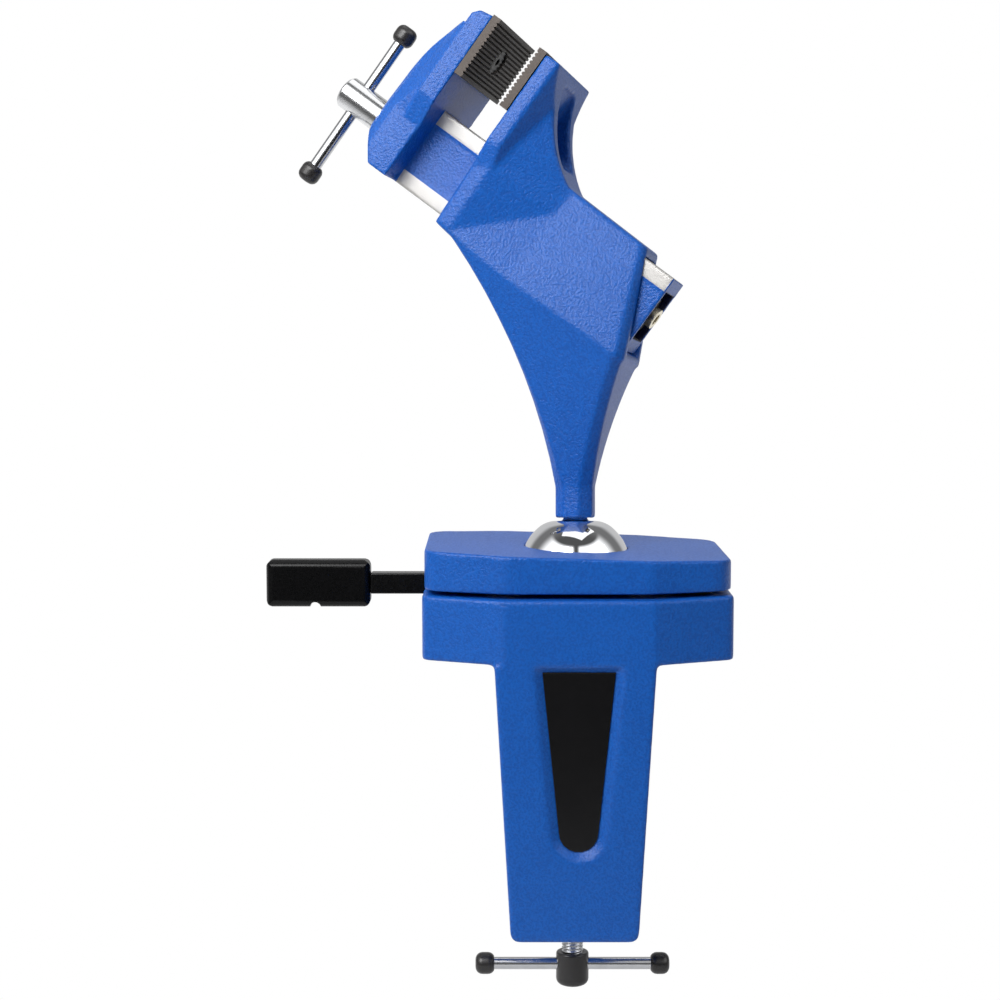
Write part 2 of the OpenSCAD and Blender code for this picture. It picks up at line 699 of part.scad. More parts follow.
// A jaw plate with its back at 0 and its ridges toward +u
module jaw_plate() {
    land = ridge_pitch * 0.4;
    count = floor((jaw_plate_h - 1) / ridge_pitch);
    start = (jaw_plate_h - count * ridge_pitch) / 2;
    ridges = [for (i = [0:count - 1]) let (h = start + i * ridge_pitch) each [
        [jaw_plate_t, h + land / 2],
        [jaw_plate_t - ridge_depth, h + ridge_pitch / 2],
        [jaw_plate_t, h + ridge_pitch - land / 2]
    ]];
    difference() {
        side_profile(jaw_w)
            polygon(concat(
                [[0, 0], [jaw_plate_t, 0]], ridges, [[jaw_plate_t, jaw_plate_h], [0, jaw_plate_h]]
            ));
        rod_u(-1, jaw_plate_t + 1, plate_hole_d, jaw_plate_h / 2);
        translate([0, 0, jaw_plate_h / 2]) rotate([0, 90, 0]) plate_screw_head(screw_room);
    }
}

// The countersunk head, grown by a margin, along +Z from the plate's back
module plate_screw_head(grow) {
    sink = 0.8;
    cone_h = jaw_plate_t - sink - 0.3;
    head_d = plate_screw_d + 2 * cone_h;
    translate([0, 0, 0.3]) cylinder(d1 = plate_screw_d + 2 * grow, d2 = head_d + 2 * grow, h = cone_h);
    if (grow > 0) translate([0, 0, 0.3 + cone_h]) cylinder(d = head_d + 2 * grow, h = sink + 1);
}

module plate_screw() {
    translate([0, 0, jaw_plate_h / 2]) rotate([0, 90, 0]) difference() {
        union() {
            plate_screw_head(0);
            translate([0, 0, -plate_screw_reach]) cylinder(d = plate_screw_d, h = plate_screw_reach + 1);
        }
        translate([0, 0, jaw_plate_t - 2.2]) cylinder(d = plate_screw_d * 0.6, h = 3, $fn = 6);
    }
}

module at_fixed_plate() {
    vise_place() translate([jaw_plate_t, 0, 0]) mirror([1, 0, 0]) children();
}
module at_moving_plate() {
    vise_place() translate([plate_back, 0, 0]) children();
}

module fixed_jaw_plate() color("darkslategray") at_fixed_plate() jaw_plate();
module fixed_plate_screw() color("black") at_fixed_plate() plate_screw();
module moving_jaw_plate() color("darkslategray") at_moving_plate() jaw_plate();
module moving_plate_screw() color("black") at_moving_plate() plate_screw();

module jaw_nut() color("goldenrod") vise_place() difference() {
    union() {
        box_u(nut_at, nut_at + nut_l, hollow_w - 2 * pass_room,
              -slide_low + slide_roof + pass_room, -slide_top - slide_roof - pass_room);
        box_u(nut_at, nut_at + nut_l, nut_foot_w, -slide_low - nut_foot_depth, spindle_axis);
    }
    rod_u(nut_at - 1, nut_at + nut_l + 1, spindle_d + 2 * fit);
}

// The moving jaw, cast in one with its hollow slide. One section of its nose at height h: the half width at
// the rear and at the crease behind the rim, then the cheek's points, each by its way from the front
function nose_ring(h, rear, cheek) =
    let (right = concat(
        [[plate_back - 0.2, rear], [plate_back - moving_edge, rear]],
        [for (p = cheek) [nose_front + p.x, p.y]]
    ))
    let (n = len(right))
    concat([for (p = right) [p.x, p.y, h]], [for (i = [n - 1:-1:0]) [right[i].x, -right[i].y, h]]);

module moving_jaw_body() {
    half = jaw_w / 2;
    low = moving_low_half;
    rim_front = plate_back - moving_edge;
    rim_side = [
        [plate_back, 1 - slide_low], [plate_back, jaw_top], [rim_front + moving_edge * 0.3, jaw_top - 0.8],
        [rim_front, jaw_top - 3.2], [rim_front, 1 - slide_low]
    ];
    rim_view = [
        [1.5 - low, 3 - slide_low], [low - 1.5, 3 - slide_low], [low - 1.5, -jaw_hold - 14],
        [low + 0.3, -jaw_hold - 10], [half, -jaw_hold], [half, jaw_plate_h],
        [-half, jaw_plate_h], [-half, -jaw_hold], [-low - 0.3, -jaw_hold - 10], [1.5 - low, -jaw_hold - 14]
    ];
    intersection() {
        side_profile(2 * jaw_w) polygon(rim_side);
        front_profile(rim_front - 1, plate_back + 1) polygon(rim_view);
    }
    brow = [plate_back - moving_edge - 2, nose_top];
    cheek = [nose_front, -jaw_hold];
    curve = [for (t = [0:0.125:1]) bend(brow, [nose_front, nose_top * 0.12], cheek, t)];
    nose_side = concat(
        [[plate_back - 0.4, -slide_low], [plate_back - 0.4, nose_top]],
        curve,
        [[nose_front, 12 - slide_low], [nose_front + 9.5, -slide_low]]
    );
    low_cheek = [[5.5, low - 0.4], [2.2, low - 2.4], [0.3, low - 6], [-0.5, low - 10.5]];
    high_cheek = [
        [5.5, nose_half + 4.6], [2.2, nose_half + 1.9], [0.3, nose_half - 0.4], [-0.5, nose_half - 4]
    ];
    intersection() {
        side_profile(2 * jaw_w) polygon(nose_side);
        loft([
            nose_ring(-slide_low - 1, low, low_cheek),
            nose_ring(-jaw_hold - 9, low, low_cheek),
            nose_ring(4 - jaw_hold, half - 1.4, high_cheek),
            nose_ring(jaw_plate_h, half - 1.4, [for (p = high_cheek) [p.x, p.y - 2]])
        ]);
    }
}

module slide() {
    difference() {
        box_u(plate_back - 1, slide_end, slide_w, -slide_low, -slide_top);
        for (side = [-1, 1]) translate([0, side * (slide_w - strip_depth + 1) / 2, 0])
            box_u(plate_back, slide_end + 1, strip_depth + 1, strip_h - slide_low, -slide_top - strip_h);
    }
}

module moving_jaw() color("royalblue") vise_place() difference() {
    union() {
        moving_jaw_body();
        slide();
    }
    box_u(hollow_front, slide_end + 1, hollow_w, slide_roof - slide_low, -slide_top - slide_roof);
    box_u(slot_front, slot_rear, nut_foot_w + 2 * pass_room, -slide_low - 1, slide_roof + 1 - slide_low);
    rod_u(nose_front - 1, hollow_front + 1, spindle_d + 2 * fit);
    rod_u(plate_back - plate_screw_reach - 0.5, plate_back + 1, plate_hole_d, jaw_plate_h / 2);
}

// Spindle

module bar_hole_u() {
    translate([spindle_bar_u, 0, spindle_axis])
        cylinder(d = bar_d + 2 * fit, h = 3 * spindle_hub_d, center = true);
}

module spindle() color("silver") vise_place() difference() {
    union() {
        rod_u(hub_back - 1, spindle_end, spindle_d);
        rod_u(hub_front + 1, hub_back, spindle_hub_d);
        translate([hub_front, 0, spindle_axis]) rotate([0, 90, 0])
            cylinder(d1 = spindle_hub_d - 2, d2 = spindle_hub_d, h = 1);
    }
    bar_hole_u();
    translate([hollow_front, 0, spindle_axis]) rotate([0, 90, 0]) difference() {
        translate([0, 0, fit]) cylinder(d = spindle_d + 2, h = clip_t + 2 * screw_room);
        cylinder(d = clip_groove_d, h = 2 * clip_t);
    }
    rod_u(spindle_end - stop_screw_l - 1, spindle_end + 1, stop_screw_d + 2 * screw_room);
}

module washer_u(from, t, outer, inner) {
    difference() {
        rod_u(from, from + t, outer);
        rod_u(from - 1, from + t + 1, inner);
    }
}

module thrust_washer() color("silver") vise_place()
    washer_u(hub_back, thrust_t, spindle_hub_d + 5, spindle_d + 2 * screw_room);

module retaining_clip() color("gray") vise_place() difference() {
    washer_u(hollow_front + fit + screw_room, clip_t, small_washer_d, clip_groove_d + 2 * screw_room);
    box_u(hollow_front, hollow_front + 2 * clip_t, clip_groove_d * 0.8, -slide_low, spindle_axis);
}

module stop_washer() color("silver") vise_place()
    washer_u(spindle_end, stop_washer_t, small_washer_d, stop_screw_d + 2 * screw_room);

module stop_screw() color("darkkhaki") vise_place() difference() {
    union() {
        rod_u(spindle_end - stop_screw_l, spindle_end + stop_washer_t, stop_screw_d);
        rod_u(spindle_end + stop_washer_t, spindle_end + stop_washer_t + stop_head_h, stop_head_d);
    }
    translate([spindle_end + stop_washer_t + stop_head_h - 2, 0, spindle_axis]) rotate([0, 90, 0])
        cylinder(d = stop_screw_d * 0.95, h = 3, $fn = 6);
}

// A cross bar and its caps, along Z and centred

module cross_bar(length) {
    cylinder(d = bar_d, h = length - cap_l, center = true);
}

module bar_caps(length) {
    crown = cap_d / 2;
    edge = cap_d * 0.32;
    sink = cap_l / 2;
    outline = rounded([[-crown, 0], [crown, 0], [crown, cap_l], [-crown, cap_l]], edge);
    for (side = [0, 1]) mirror([0, 0, side]) translate([0, 0, length / 2 - cap_l]) difference() {
        rotate_extrude() intersection() {
            polygon(outline);
            square([crown, cap_l]);
        }
        translate([0, 0, -1]) cylinder(d = bar_d + 2 * screw_room, h = sink + 1);
    }
}

module at_spindle_bar() {
    vise_place() translate([spindle_bar_u, 0, spindle_axis + spindle_bar_shift]) children();
}
module at_clamp_bar() {
    translate([0, screw_y, clamp_bar_z]) rotate([0, 90, 0]) children();
}

module spindle_bar() color("silver") at_spindle_bar() cross_bar(spindle_bar_l);
module spindle_bar_caps() color("black") at_spindle_bar() bar_caps(spindle_bar_l);
module clamp_bar() color("silver") at_clamp_bar() cross_bar(clamp_bar_l);
module clamp_bar_caps() color("black") at_clamp_bar() bar_caps(clamp_bar_l);

// Bench clamp

module at_screw(z) {
    translate([0, screw_y, z]) children();
}

module clamp_pad() color("silver") difference() {
    union() {
        at_screw(pad_top - pad_t) cylinder(d = pad_d, h = pad_t);
        at_screw(pad_low) cylinder(d = pad_collar_d, h = pad_collar_h + pad_t / 2);
    }
    at_screw(pad_low - 1) cylinder(d = tip_d + 2 * fit, h = tip_l + 1 + fit);
}

module clamp_bar_hole() {
    translate([0, screw_y, clamp_bar_z]) rotate([0, 90, 0])
        cylinder(d = bar_d + 2 * fit, h = 3 * hub_d, center = true);
}

module clamp_screw() color("silver") difference() {
    union() {
        at_screw(screw_low) cylinder(d = clamp_d, h = pad_low - fit - screw_low);
        at_screw(screw_low) cylinder(d = tip_d, h = pad_low + tip_l - screw_low);
    }
    clamp_bar_hole();
}

module clamp_hub() color("black") difference() {
    half = hub_d / 2;
    outline = rounded([[-half, 0], [half, 0], [half, hub_l], [-half, hub_l]], [2.4, 2.4, 0.8, 0.8]);
    at_screw(hub_low) rotate_extrude() intersection() {
        polygon(outline);
        square([half, hub_l]);
    }
    at_screw(screw_low) cylinder(d = clamp_d + 2 * screw_room, h = hub_l);
    clamp_bar_hole();
}

// Lock lever

module lock_bolt() color("silver") translate([bolt_x, 0, bolt_head_sink]) difference() {
    union() {
        cylinder(d = bolt_head_d / cos(30), h = bolt_head_h, $fn = 6);
        cylinder(d = bolt_d, h = lever_high + bolt_reach - bolt_head_sink);
    }
    translate([0, 0, -0.5]) cylinder(d = bolt_d * 0.6, h = 1);
}

module bolt_washer() color("silver") translate([bolt_x, 0, bolt_head_sink + bolt_head_h]) difference() {
    cylinder(d = washer_d, h = washer_t);
    translate([0, 0, -1]) cylinder(d = bolt_d + 2 * screw_room, h = washer_t + 2);
}

module lever_arm() color("black") translate([bolt_x, 0, lever_low]) difference() {
    root = [lever_reach, lever_arm_w, lever_arm_h];
    union() {
        cylinder(d = lever_hub_d, h = lever_arm_h);
        translate([-root.x, -root.y / 2, 0]) cube(root);
        translate([-root.x - tang_l, -tang_w / 2, (lever_arm_h - tang_h) / 2])
            cube([tang_l + 1, tang_w, tang_h]);
    }
    translate([0, 0, -1]) cylinder(d = bolt_d + 2 * screw_room, h = lever_arm_h + 2);
}

module lever_grip() color("black") translate([bolt_x - lever_reach, 0, lever_z]) difference() {
    translate([-grip_l / 2, 0, 0]) soft_box([grip_l, grip_t, grip_h], grip_r);
    translate([-tang_l - screw_room, -tang_w / 2 - screw_room, -tang_h / 2 - screw_room])
        cube([tang_l + 1, tang_w + 2 * screw_room, tang_h + 2 * screw_room]);
    translate([-grip_l * 0.53, 0, -grip_h / 2]) rotate([90, 0, 0])
        cylinder(r = grip_notch_r, h = 2 * grip_t, center = true);
}

clamp_frame();
label_plate();
ball_cover();
cover_spacers();
cover_screws();
ball_seat();
ball();
head_casting();
fixed_jaw_plate();
fixed_plate_screw();
jaw_nut();
moving_jaw();
moving_jaw_plate();
moving_plate_screw();
spindle();
thrust_washer();
retaining_clip();
stop_washer();
stop_screw();
spindle_bar();
spindle_bar_caps();
clamp_pad();
clamp_screw();
clamp_hub();
clamp_bar();
clamp_bar_caps();
lock_bolt();
bolt_washer();
lever_arm();
lever_grip();
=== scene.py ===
# %% [markdown]
# # A ball joint vise, dressed for its portrait
# The packed model already holds every solid of the vise in its right place and size.
# This lesson adds what the solids leave out: soft cast edges, a leathery blue paint, chrome,
# blackened steel, a rounder ball, a cut thread, and the light of a small studio.
# The frame is loaded first, because every piece made here sits on one of its bodies.

# %% Load the packed vise
import bpy
import bmesh
import json
import math
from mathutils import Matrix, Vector


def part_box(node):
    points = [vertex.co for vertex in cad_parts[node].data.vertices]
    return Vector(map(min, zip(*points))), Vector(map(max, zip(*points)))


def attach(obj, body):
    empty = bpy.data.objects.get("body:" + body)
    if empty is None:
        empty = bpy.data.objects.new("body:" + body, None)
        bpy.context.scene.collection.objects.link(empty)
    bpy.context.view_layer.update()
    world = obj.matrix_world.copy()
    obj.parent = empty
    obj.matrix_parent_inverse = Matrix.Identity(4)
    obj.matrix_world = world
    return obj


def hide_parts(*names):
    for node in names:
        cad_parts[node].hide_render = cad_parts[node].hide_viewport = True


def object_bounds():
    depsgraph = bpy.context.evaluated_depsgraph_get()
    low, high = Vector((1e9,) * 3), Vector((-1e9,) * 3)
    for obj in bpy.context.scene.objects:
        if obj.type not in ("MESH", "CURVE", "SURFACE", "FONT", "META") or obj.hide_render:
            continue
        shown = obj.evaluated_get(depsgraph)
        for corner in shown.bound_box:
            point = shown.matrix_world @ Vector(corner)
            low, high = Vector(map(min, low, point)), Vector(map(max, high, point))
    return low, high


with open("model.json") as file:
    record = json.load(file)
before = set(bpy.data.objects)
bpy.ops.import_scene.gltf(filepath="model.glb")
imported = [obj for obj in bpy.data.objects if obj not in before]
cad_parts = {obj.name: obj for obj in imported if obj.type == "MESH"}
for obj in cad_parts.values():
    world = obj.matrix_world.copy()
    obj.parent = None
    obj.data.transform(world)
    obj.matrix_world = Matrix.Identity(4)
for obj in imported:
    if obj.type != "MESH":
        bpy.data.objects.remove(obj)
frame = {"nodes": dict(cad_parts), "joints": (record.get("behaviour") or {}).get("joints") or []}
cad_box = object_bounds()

MM = 0.001

# %% [markdown]
# ## The vise head's own directions
# The head stands tilted on its ball, so its faces are square to nothing in the world.
# Its joints know the way: the jaw slides along one axis, and the spindle's bar slides square to it.
# With those two directions and a point on the spindle, any spot on the head can be named in
# millimetres along, across and up. Heights count from the jaws' lower edge, above the spindle.

# %% Directions of the head
joints = {joint["name"]: joint for joint in frame["joints"]}
ALONG = Vector(joints["jaw_slide"]["axis"]).normalized()
UP = Vector(joints["spindle_bar_slide"]["axis"]).normalized()
ACROSS = UP.cross(ALONG)
SPINDLE = Vector(joints["spindle_turn"]["pos_m"])
SPINDLE_DEPTH = 28.25
print("slide axis", [round(x, 3) for x in ALONG], "across", [round(x, 3) for x in ACROSS])

# %% [markdown]
# ## Writing shaders as sums
# A shader is a web of small nodes, and wiring them one by one hides what they work out.
# The class below holds one socket and answers to plus, minus, times and divided by, so a mask can be
# written as a line of Python. Numbers go through Math nodes, and vectors through Vector Math.

# %% A socket that can be added up
class Wire:
    """One output socket of a finish, for use in sums."""

    def __init__(self, finish, socket):
        self.finish = finish
        self.socket = socket

    def work(self, operation, *terms):
        """One node's answer: Math where all terms are numbers, and Vector Math where one isn't."""
        plain = all(not isinstance(t, Wire) or t.socket.type == "VALUE" for t in terms)
        kind = "ShaderNodeMath" if plain else "ShaderNodeVectorMath"
        return self.finish.node(kind, {"operation": operation}, dict(enumerate(terms)))

    def __add__(self, other):
        return self.work("ADD", self, other)

    def __sub__(self, other):
        return self.work("SUBTRACT", self, other)

    def __rsub__(self, other):
        return self.work("SUBTRACT", other, self)

    def __mul__(self, other):
        return self.work("MULTIPLY", self, other)

    def __truediv__(self, other):
        return self.work("DIVIDE", self, other)

    def __rtruediv__(self, other):
        return self.work("DIVIDE", other, self)

    def __abs__(self):
        return self.work("ABSOLUTE", self)

    __radd__ = __add__
    __rmul__ = __mul__

    def cosine(self):
        return self.work("COSINE", self)

    def dot(self, direction):
        return self.finish.node("ShaderNodeVectorMath", {"operation": "DOT_PRODUCT"},
                                {0: self, 1: tuple(direction)}, "Value")

    def step(self, low, high):
        """0 below low, 1 above high, and a smooth slope between them."""
        return self.finish.node("ShaderNodeMapRange", {"interpolation_type": "SMOOTHSTEP"},
                                {"Value": self, "From Min": low, "From Max": high})


print("a wire knows", [name for name in vars(Wire) if not name.startswith("_")])

# %% [markdown]
# A finish is a material, or the world, while it is being laid out. All its nodes come from one
# method, which sets a node's choices first and its sockets after. The other methods are short names
# for what every finish needs: a place on the piece, noise of a known size, a mix and a relief.
# The place is the piece's own, so the grain stays with the piece when a joint moves.

# %% A finish and its nodes
class Finish:
    """A material, or the world, while its nodes are laid out."""

    def __init__(self, owner):
        owner.use_nodes = True
        self.owner = owner
        self.tree = owner.node_tree
        self.tree.nodes.clear()

    def node(self, kind, settings=None, sockets=None, out=0):
        """A new node with its choices set and its sockets filled or linked, as one of its outputs."""
        made = self.tree.nodes.new(kind)
        for name, value in (settings or {}).items():
            setattr(made, name, value)
        for name, value in (sockets or {}).items():
            place = made.inputs[name]
            if isinstance(value, Wire):
                self.tree.links.new(value.socket, place)
            elif hasattr(place.default_value, "__len__") and not hasattr(value, "__len__"):
                place.default_value = (value, value, value)
            else:
                place.default_value = value
        return Wire(self, made.outputs[out]) if made.outputs else made

    def spot(self):
        """The place on the piece, in metres, which moves along with the piece."""
        return self.node("ShaderNodeTexCoord", out="Object")

    def noise(self, size, detail=2.0, stretch=None):
        """Cloudy noise whose lumps are about size millimetres across, 0 to 1."""
        place = self.spot()
        if stretch:
            place = place * stretch
        return self.node("ShaderNodeTexNoise", {},
                         {"Vector": place, "Scale": 1 / (size * MM), "Detail": detail})

    def mix(self, mask, first, second):
        """A colour that goes from first to second as the mask goes from 0 to 1."""
        return self.node("ShaderNodeMix", {"data_type": "RGBA"}, {0: mask, 6: first, 7: second}, 2)

    def surface(self, **sockets):
        """Ends the finish in one Principled shader."""
        names = {name.replace("_", " "): value for name, value in sockets.items()}
        shader = self.node("ShaderNodeBsdfPrincipled", {}, names)
        self.node("ShaderNodeOutputMaterial", {}, {"Surface": shader})
        return self.owner

    def relief(self, height, depth):
        """A bumped normal whose full height is depth millimetres."""
        return self.node("ShaderNodeBump", {},
                         {"Height": height, "Distance": depth * MM, "Strength": 1.0})


def tone(red, green, blue):
    """A colour as a screen shows it, 0 to 255, in the linear values a shader takes."""
    shares = [channel / 255 for channel in (red, green, blue)]
    linear = [((s + 0.055) / 1.055) ** 2.4 if s > 0.04 else s / 12.92 for s in shares]
    return (*linear, 1.0)


print("a mid grey of 128 is", round(tone(128, 128, 128)[0], 3), "in linear light")

# %% [markdown]
# ## The blue paint
# The castings wear a thick stoved enamel with a fine leathery grain, under a millimetre from lump to
# lump. A picture of the grain would show the same patch again and again, so it is made from two sizes
# of noise. The hollows of the grain are duller than its crowns, and are coloured darker as painted
# shade, which keeps the grain readable where the light is flat. A broad cloud adds random tone.

# %% Blue enamel
LUMP, PORE, CLOUD = 0.85, 0.38, 28.0
GRAIN_DEPTH = 0.28
PAINT_SHINE = 0.34
SHADED_HOLLOW_BLUE, CROWN_BLUE = tone(12, 78, 164), tone(19, 95, 188)
SHADED_BLUE = tone(8, 16, 52)
MILLED_DARK, MILLED_LIGHT = tone(172, 170, 167), tone(196, 194, 191)
MILLING, MILLING_STRETCH = 0.35, 11


def enamel(name, bare=None, inside=None):
    """The blue paint. bare and inside, where given, make masks of milled metal and of painted shade in
    hollows.
    """
    finish = Finish(bpy.data.materials.new(name))
    grain = finish.noise(LUMP, 1.0) * 0.75 + finish.noise(PORE) * 0.25
    # Painted shade: the grain's hollows take the darker blue, and the cloud adds random tone.
    grain_shade_and_tone = grain.step(0.36, 0.62) * 0.7 + finish.noise(CLOUD) * 0.3
    colour = finish.mix(grain_shade_and_tone, SHADED_HOLLOW_BLUE, CROWN_BLUE)
    rough = 0.46 - grain * 0.16
    metal = 0.0
    height = grain
    if inside:
        # Painted shade: the hollow's mask turns the paint dark blue deep in the slide's hollow.
        colour = finish.mix(inside(finish), colour, SHADED_BLUE)
    if bare:
        mask = bare(finish)
        lines = finish.noise(MILLING, 2.0, tuple(1 + MILLING_STRETCH * abs(c) for c in UP))
        colour = finish.mix(mask, colour, finish.mix(lines, MILLED_DARK, MILLED_LIGHT))
        rough = rough * (1 - mask) + mask * (0.34 + lines * 0.12)
        height = grain * (1 - mask) + mask * (lines * 0.1 + 0.3)
        metal = mask * 0.35
    return finish.surface(Base_Color=colour, Roughness=rough, Metallic=metal,
                          Normal=finish.relief(height, GRAIN_DEPTH), Specular_IOR_Level=PAINT_SHINE)


blue_enamel = enamel("blue_enamel")
print("made", blue_enamel.name)

# %% [markdown]
# ## The bare strips of the slide
# After painting, the slide was milled along its upper and lower edges so that it runs true in the
# body. Those strips are bright aluminium. They could be pieces of their own, but they are part of the
# painted casting, so a mask measured on the head tells the paint where to stop. A second mask paints
# shade into the hollow inside the slide, darkening the paint there.

# %% Blue enamel with milled strips
SLIDE_TOP, ROOF, FLOOR = -13.0, -18.5, -38.0
STRIP_START, STRIP_END = -20.15, 83.15
PAINT_LINE = 0.12
HOLLOW_SIDE = 7.5
RIM_NEAR, RIM_FAR = 0.1, 0.5
DARK_FROM, DARK_FULL = 30.0, 40.0


def reach(finish, direction):
    """How far a spot lies from the spindle in one direction of the head, in millimetres."""
    return (finish.spot() - tuple(SPINDLE)).dot(direction) / MM


def head_height(finish):
    """How high a spot lies above the jaws' lower edge, in millimetres."""
    return reach(finish, UP) - SPINDLE_DEPTH


def milled_strips(finish):
    """1 on the bare strips of the slide, 0 on its paint."""
    along, up = reach(finish, ALONG), head_height(finish)
    below_top = 1 - up.step(SLIDE_TOP + 0.05, SLIDE_TOP + 0.25)
    upper = up.step(ROOF - PAINT_LINE, ROOF + PAINT_LINE) * below_top
    lower = 1 - up.step(FLOOR - PAINT_LINE, FLOOR + PAINT_LINE)
    before_end = 1 - along.step(STRIP_END - 0.2, STRIP_END)
    return (upper + lower) * along.step(STRIP_START, STRIP_START + 0.25) * before_end


def painted_hollow_shade(finish):
    """1 deep in the slide's hollow, where shade is painted, 0 outside it."""
    along, up = reach(finish, ALONG), head_height(finish)
    wide = 1 - abs(reach(finish, ACROSS)).step(HOLLOW_SIDE + RIM_NEAR, HOLLOW_SIDE + RIM_FAR)
    high = up.step(FLOOR - RIM_FAR, FLOOR - RIM_NEAR) * (1 - up.step(ROOF + RIM_NEAR, ROOF + RIM_FAR))
    return wide * high * along.step(DARK_FROM, DARK_FULL)


slide_enamel = enamel("slide_enamel", milled_strips, painted_hollow_shade)
print("made", slide_enamel.name)

# %% [markdown]
# ## Chrome, steel and brass
# Polished chrome is nearly a mirror, so what it shows is the studio around it.
# A plain mirror looks like a drawing, though. A trace of wave in the normal and of haze in the
# roughness tells one metal from the other: the ball is the clearest, the cross bars are greyer than
# the spindle, and zinc and brass are dull.

# %% Metals
SPECK = 0.4


def plated(name, dark, light, rough, haze, wave, size=6.0):
    """A metal. haze is what specks add to rough, and its waves are wave high and size wide, in mm."""
    finish = Finish(bpy.data.materials.new(name))
    clouds = finish.noise(size)
    specks = finish.noise(SPECK)
    return finish.surface(Base_Color=finish.mix(clouds, dark, light), Metallic=1.0,
                          Roughness=rough + specks * haze,
                          Normal=finish.relief(clouds + specks * 0.1, wave))


mirror_chrome = plated("mirror_chrome", tone(222, 223, 226), tone(238, 239, 241), 0.035, 0.03, 0.004)
bright_chrome = plated("bright_chrome", tone(216, 217, 220), tone(236, 237, 238),
                       0.17, 0.04, 0.0004, 3.0)
bar_chrome = plated("bar_chrome", tone(184, 185, 188), tone(204, 205, 207), 0.18, 0.04, 0.0004, 3.0)
zinc_plate = plated("zinc_plate", tone(178, 180, 184), tone(205, 206, 208), 0.26, 0.14, 0.02, 2.0)
yellow_brass = plated("yellow_brass", tone(176, 138, 72), tone(204, 168, 98), 0.28, 0.12, 0.02, 3.0)
white_brass = plated("white_brass", tone(206, 196, 170), tone(232, 226, 206), 0.24, 0.12, 0.02, 1.5)
metals = (mirror_chrome, bright_chrome, bar_chrome, zinc_plate, yellow_brass, white_brass)
print("made", [metal.name for metal in metals])

# %% [markdown]
# ## Blackened and black pieces
# The jaw plates are hardened steel with a warm dark oxide, the screws are blackened, the lever's arm
# and the clamp's hub are enamelled, and the lever's grip and the small caps are plastic.
# Black on black hides form, so each has its own roughness and a grain of its own size. The plates'
# ridges are cut across by finer rows, too shallow to change the outline, so those are left to the
# shader, which bumps them and paints shade into their troughs.

# %% Blacks
JAW_WIDTH, JAW_ROWS = 50.0, 62
ROW_SHADE = tone(14, 12, 12)
CLOUDS_TO_SPECKS = 14


def blackened(name, dark, light, metal, rough, spread, depth, size=0.6, shine=0.5, hatch=None):
    """A black. Specks of size mm add spread to rough, and stand depth mm high.

    hatch, where given, makes the height of rows cut across the piece, 0 to 1, and ROW_SHADE is painted
    into their troughs as shade.
    """
    finish = Finish(bpy.data.materials.new(name))
    specks = finish.noise(size, 3.0)
    clouds = finish.noise(size * CLOUDS_TO_SPECKS)
    colour = finish.mix(specks * 0.5 + clouds * 0.5, dark, light)
    height = specks
    if hatch:
        rows = hatch(finish)
        # Painted shade: the rows' troughs take ROW_SHADE.
        colour = finish.mix(rows, ROW_SHADE, colour)
        height = specks * 0.1 + rows * 0.9
    return finish.surface(Base_Color=colour, Metallic=metal, Roughness=rough + specks * spread,
                          Normal=finish.relief(height, depth), Specular_IOR_Level=shine)


def jaw_rows(finish):
    """Even rows that follow one another across the jaw, with a crest at each of its sides."""
    wave = (reach(finish, ACROSS) * (math.tau * JAW_ROWS / JAW_WIDTH)).cosine() * 0.5 + 0.5
    return wave.step(0.1, 0.6)


oxide_jaw = blackened("oxide_jaw", tone(52, 45, 42), tone(76, 68, 62),
                      0.3, 0.4, 0.2, 0.08, 0.6, 0.4, jaw_rows)
oxide_screw = blackened("oxide_screw", tone(22, 22, 24), tone(40, 40, 42), 0.5, 0.3, 0.2, 0.01)
gloss_black = blackened("gloss_black", tone(5, 5, 6), tone(12, 12, 13), 0.0, 0.2, 0.14, 0.012, 1.0, 0.3)
grip_black = blackened("grip_black", tone(5, 5, 6), tone(10, 10, 11), 0.0, 0.22, 0.14, 0.02, 0.9, 0.2)
cap_black = blackened("cap_black", tone(30, 29, 29), tone(48, 46, 46), 0.0, 0.26, 0.14, 0.012, 0.8, 0.5)
plate_black = blackened("plate_black", tone(10, 10, 11), tone(18, 18, 20),
                        0.0, 0.2, 0.1, 0.006, 0.5, 0.5)
blacks = (oxide_jaw, oxide_screw, gloss_black, grip_black, cap_black, plate_black)
print("made", [black.name for black in blacks])

# %% [markdown]
# ## Soft edges on the castings
# Molten metal never fills a sharp corner, and paint rounds what is left, so every edge of a casting
# catches a soft line of light. The solids have sharp edges there.
# A bevel could round them one by one, but the castings have many short edges close together, and a
# bevel folds over itself there. So each casting is wrapped in a fine skin of even cells instead, and
# the skin is relaxed until its edges are as round as the foundry leaves them. Flat faces stay where
# they are. The last modifier thins the skin out again where it is flat.

# %% Round the edges of a casting
SEAM = 0.002 * MM


def soften(node, finish, cell, rounds, keep):
    """Wraps a casting in cells of cell mm, relaxes them rounds times and keeps a share of the faces."""
    piece = frame["nodes"][node]
    for place in piece.material_slots:
        place.material = finish
    piece.modifiers.new("weld", "WELD").merge_threshold = SEAM
    skin = piece.modifiers.new("skin", "REMESH")
    skin.mode = "VOXEL"
    skin.voxel_size = cell * MM
    skin.use_smooth_shade = True
    relax = piece.modifiers.new("relax", "SMOOTH")
    relax.factor = 0.5
    relax.iterations = rounds
    thin = piece.modifiers.new("thin", "DECIMATE")
    thin.ratio = keep
    print(node, "wrapped in cells of", cell, "mm, relaxed", rounds, "times")


# %% [markdown]
# The frame and the head have the softest edges. The moving jaw has the finest skin, because its milled
# strips have to stay crisp.

